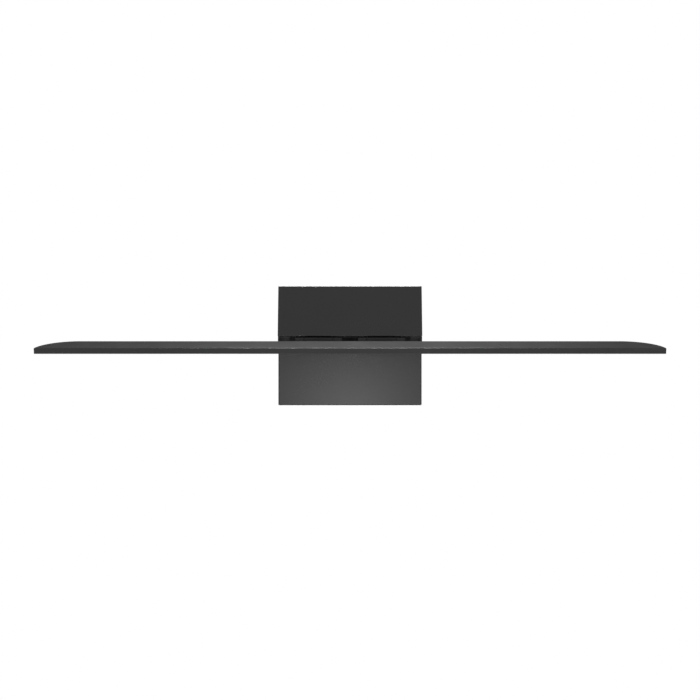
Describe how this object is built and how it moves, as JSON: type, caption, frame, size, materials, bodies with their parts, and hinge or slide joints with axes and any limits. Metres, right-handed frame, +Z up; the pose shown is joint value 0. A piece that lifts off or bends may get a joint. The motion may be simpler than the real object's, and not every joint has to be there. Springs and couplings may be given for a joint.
{
  "type": "vanity light bar",
  "caption": "Wall vanity light: a thin straight LED bar with rounded rear corners on two friction hinges in the slot of a shallow hooded rectangular canopy.",
  "frame": {"origin": "middle of the canopy on the wall, on the crossbar's back face", "axes": "+X to the right along the bar, +Y into the wall, +Z up; the room is towards -Y"},
  "size_m": [0.6098, 0.0857, 0.1204],
  "materials": {
    "coated_steel": "fine satin black powder coat on folded steel sheet",
    "coated_aluminium": "fine satin black powder coat on aluminium",
    "black_steel": "black zinc plate, semi-matt",
    "zinc_steel": "bright zinc plate",
    "bare_aluminium": "bare rolled aluminium",
    "opal_acrylic": "opal acrylic, satin",
    "circuit_board": "white solder mask",
    "driver_plastic": "moulded off-white plastic",
    "acetal": "black acetal",
    "black_rubber": "moulded black rubber",
    "lead_sheath": "black flexible sheath",
    "core_black": "black insulated core",
    "core_white": "white insulated core",
    "core_green": "green insulated core",
    "nut_orange": "ribbed orange plastic",
    "nut_green": "ribbed green plastic",
    "ground_green": "green-coated steel screw"
  },
  "bodies": {
    "canopy": {"canopy_cover": "coated_steel", "hood_panel": "coated_aluminium", "chassis_plate": "black_steel", "hinge_bracket_left": "coated_steel", "hinge_bracket_right": "coated_steel", "crossbar": "zinc_steel", "hinge_pin_left": "zinc_steel", "hinge_pin_right": "zinc_steel", "side_screw_left": "zinc_steel", "side_screw_right": "zinc_steel", "hood_screw_left": "zinc_steel", "hood_screw_right": "zinc_steel", "driver_screw_left": "zinc_steel", "driver_screw_right": "zinc_steel", "chassis_nut_lower_left": "zinc_steel", "chassis_nut_lower_right": "zinc_steel", "chassis_nut_upper_left": "zinc_steel", "chassis_nut_upper_right": "zinc_steel", "bracket_screw_inner_left": "zinc_steel", "bracket_screw_inner_right": "zinc_steel", "bracket_screw_outer_left": "zinc_steel", "bracket_screw_outer_right": "zinc_steel", "driver_board": "circuit_board", "driver_case": "driver_plastic", "driver_lid": "driver_plastic", "thrust_washer_inner_left": "acetal", "thrust_washer_inner_right": "acetal", "thrust_washer_outer_left": "acetal", "thrust_washer_outer_right": "acetal", "cable_grommet": "black_rubber", "output_lead": "lead_sheath", "lead_live": "core_black", "lead_neutral": "core_white", "lead_ground": "core_green", "wire_nut_live": "nut_orange", "wire_nut_neutral": "nut_orange", "wire_nut_ground": "nut_green", "ground_screw": "ground_green"},
    "light_bar": {"bar_shell": "coated_aluminium", "arm_left": "coated_aluminium", "arm_right": "coated_aluminium", "led_tray": "bare_aluminium", "diffuser": "opal_acrylic", "lead_cover": "bare_aluminium", "bar_lead": "lead_sheath", "friction_bush_left": "acetal", "friction_bush_right": "acetal", "led_board_1": "circuit_board", "led_board_2": "circuit_board", "led_board_3": "circuit_board", "led_board_4": "circuit_board", "cover_screw_1": "black_steel", "cover_screw_2": "black_steel", "cover_screw_3": "black_steel", "cover_screw_4": "black_steel", "cover_screw_5": "black_steel", "arm_screw_left_left": "zinc_steel", "arm_screw_left_right": "zinc_steel", "arm_screw_right_left": "zinc_steel", "arm_screw_right_right": "zinc_steel"}
  },
  "joints": [
    {"name": "bar_tilt", "type": "hinge", "parent": "canopy", "child": "light_bar", "pos_m": [0, -0.028, 0.00214], "axis": [1, 0, 0], "range_deg": [-27, 33]}
  ]
}
